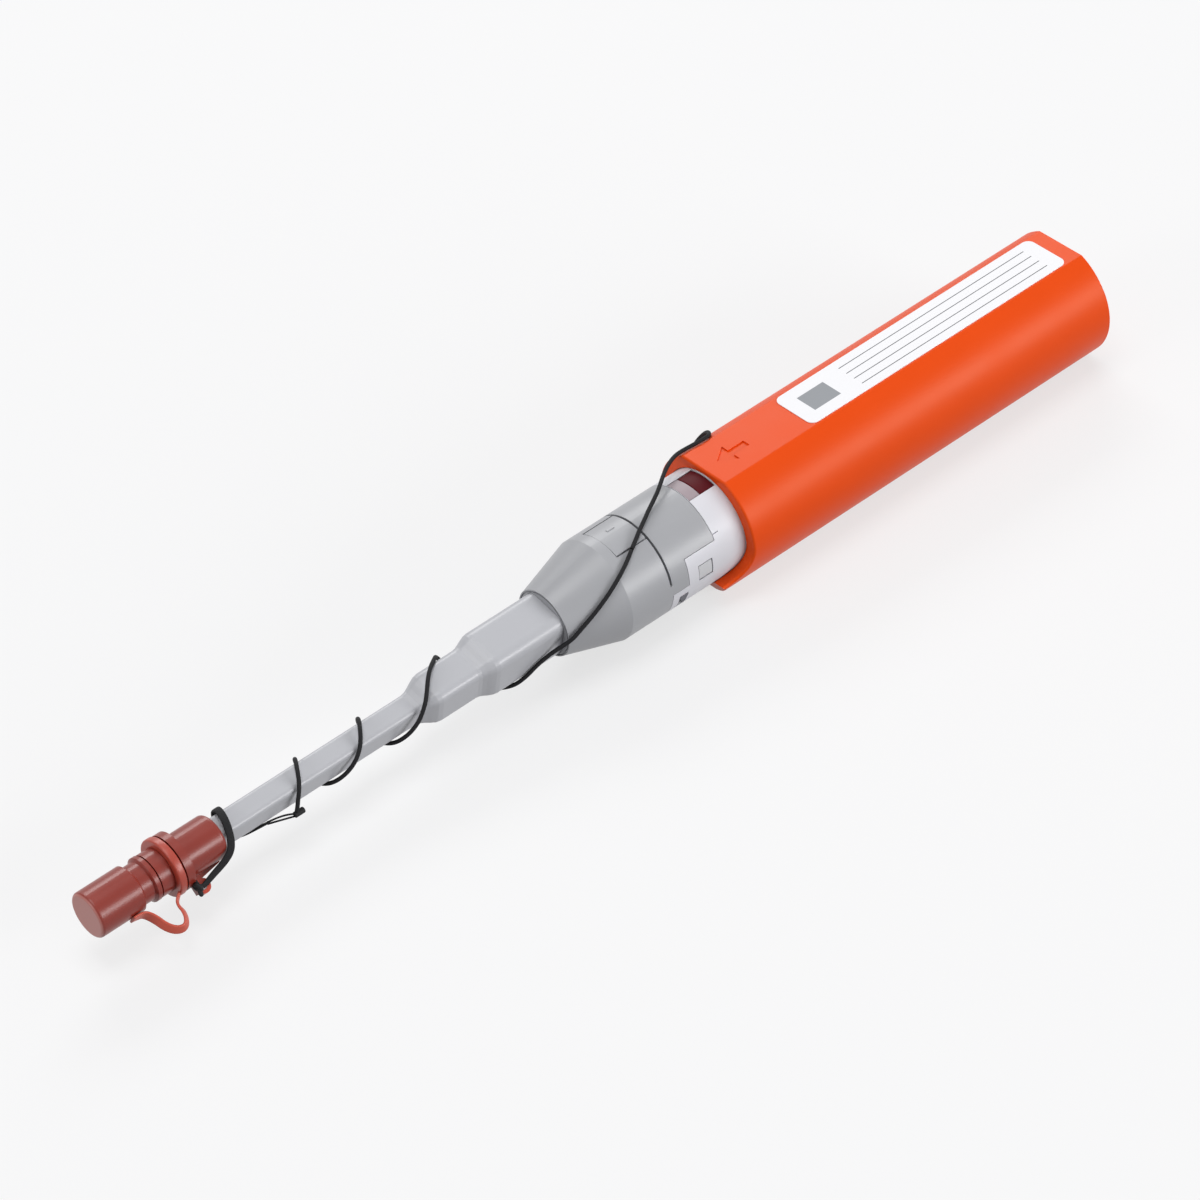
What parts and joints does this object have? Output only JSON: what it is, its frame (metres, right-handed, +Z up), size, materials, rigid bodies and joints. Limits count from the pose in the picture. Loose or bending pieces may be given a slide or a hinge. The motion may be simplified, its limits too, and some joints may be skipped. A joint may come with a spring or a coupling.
{
  "type": "fibre connector cleaning pen",
  "caption": "Pen-shaped push-to-clean tool for optical fibre connectors: flat-sided handle, cone, stepped nozzle, guide cap with tethered dust lid, wound cord",
  "frame": {"origin": "middle of the housing's flat underside, on the surface the pen lies on", "axes": "+Z up; +X along the pen to the closed end of the handle, the tip points to -X; -Y is the side on the right hand when looking to the tip along -X from above"},
  "size_m": [0.2212, 0.026, 0.0225],
  "materials": {
    "black_cord": "braided",
    "dark_red_plastic": "gloss",
    "grey_plastic": "fine satin",
    "inner_plastic": "natural acetal",
    "label_paper": "printed film",
    "mauve_plastic": "matt",
    "orange_plastic": "satin moulded",
    "red_brown_plastic": "satin moulded",
    "steel": "bright drawn",
    "strap_plastic": "soft moulded",
    "thread": "microfibre thread",
    "white_plastic": "satin moulded"
  },
  "bodies": {
    "housing": {"housing": "orange_plastic", "label": "label_paper", "drive_rail": "inner_plastic", "return_spring": "steel", "cord_reach": "black_cord", "eye_knot": "black_cord"},
    "barrel": {"barrel": "white_plastic", "nose_cone": "grey_plastic", "indicator_pale": "mauve_plastic", "indicator_red": "dark_red_plastic", "reel_frame": "inner_plastic", "takeup_axle": "steel", "supply_axle": "steel", "ratchet_pawl": "inner_plastic", "cord_wrap": "black_cord"},
    "lock_tab": {"lock_tab": "grey_plastic"},
    "takeup": {"takeup_reel": "inner_plastic", "takeup_thread": "thread", "drive_pinion": "inner_plastic", "ratchet_wheel": "inner_plastic"},
    "supply": {"supply_reel": "inner_plastic", "supply_thread": "thread"},
    "cam_hub": {"cam_hub": "inner_plastic"},
    "nozzle": {"nozzle": "grey_plastic", "spindle_bush": "inner_plastic", "cord_turns": "black_cord", "cord_crimp": "black_cord", "leash_upper": "black_cord", "leash_lower": "black_cord"},
    "spindle": {"spindle": "steel", "cleaning_tip": "inner_plastic"},
    "guide_cap": {"guide_cap": "red_brown_plastic", "lid_strap": "strap_plastic", "leash_band": "black_cord", "lug_knot": "black_cord"},
    "dust_lid": {"dust_lid": "red_brown_plastic"}
  },
  "joints": [
    {"name": "push_stroke", "type": "slide", "parent": "housing", "child": "barrel", "axis": [1, 0, 0], "range_m": [0, 0.008], "stiffness_N_per_m": 400, "springref_m": -0.008, "deforming": ["return_spring", "cord_reach"]},
    {"name": "lock_tab_press", "type": "hinge", "parent": "barrel", "child": "lock_tab", "pos_m": [-0.0639, 0, 0.0199], "axis": [0, 1, 0], "range_deg": [0, 4], "stiffness_Nm_per_rad": 0.3},
    {"name": "takeup_spin", "type": "hinge", "parent": "barrel", "child": "takeup", "pos_m": [-0.0091, 0, 0.0108], "axis": [0, 1, 0], "range_deg": [0, 76.5]},
    {"name": "supply_spin", "type": "hinge", "parent": "barrel", "child": "supply", "pos_m": [0.0069, 0, 0.0108], "axis": [0, 1, 0], "range_deg": [0, 61.7]},
    {"name": "hub_turn", "type": "hinge", "parent": "barrel", "child": "cam_hub", "pos_m": [-0.0301, 0, 0.0108], "axis": [1, 0, 0], "range_deg": [0, 180.5]},
    {"name": "nozzle_extend", "type": "slide", "parent": "barrel", "child": "nozzle", "axis": [-1, 0, 0], "range_m": [0, 0.008], "deforming": ["cord_wrap"]},
    {"name": "tip_turn", "type": "hinge", "parent": "nozzle", "child": "spindle", "pos_m": [-0.0791, 0, 0.0108], "axis": [1, 0, 0], "range_deg": [0, 180.5]},
    {"name": "cap_pull", "type": "slide", "parent": "nozzle", "child": "guide_cap", "axis": [-1, 0, 0], "range_m": [0, 0.0125], "deforming": ["leash_band"]},
    {"name": "lid_pull", "type": "slide", "parent": "guide_cap", "child": "dust_lid", "axis": [-1, 0, 0], "range_m": [0, 0.0092], "deforming": ["lid_strap"]}
  ],
  "couplings": [
    {"joint": "takeup_spin", "follows": "push_stroke", "rad_per_m": 166.67},
    {"joint": "supply_spin", "follows": "push_stroke", "rad_per_m": 134.41},
    {"joint": "hub_turn", "follows": "push_stroke", "rad_per_m": 392.7},
    {"joint": "tip_turn", "follows": "push_stroke", "rad_per_m": 392.7}
  ]
}
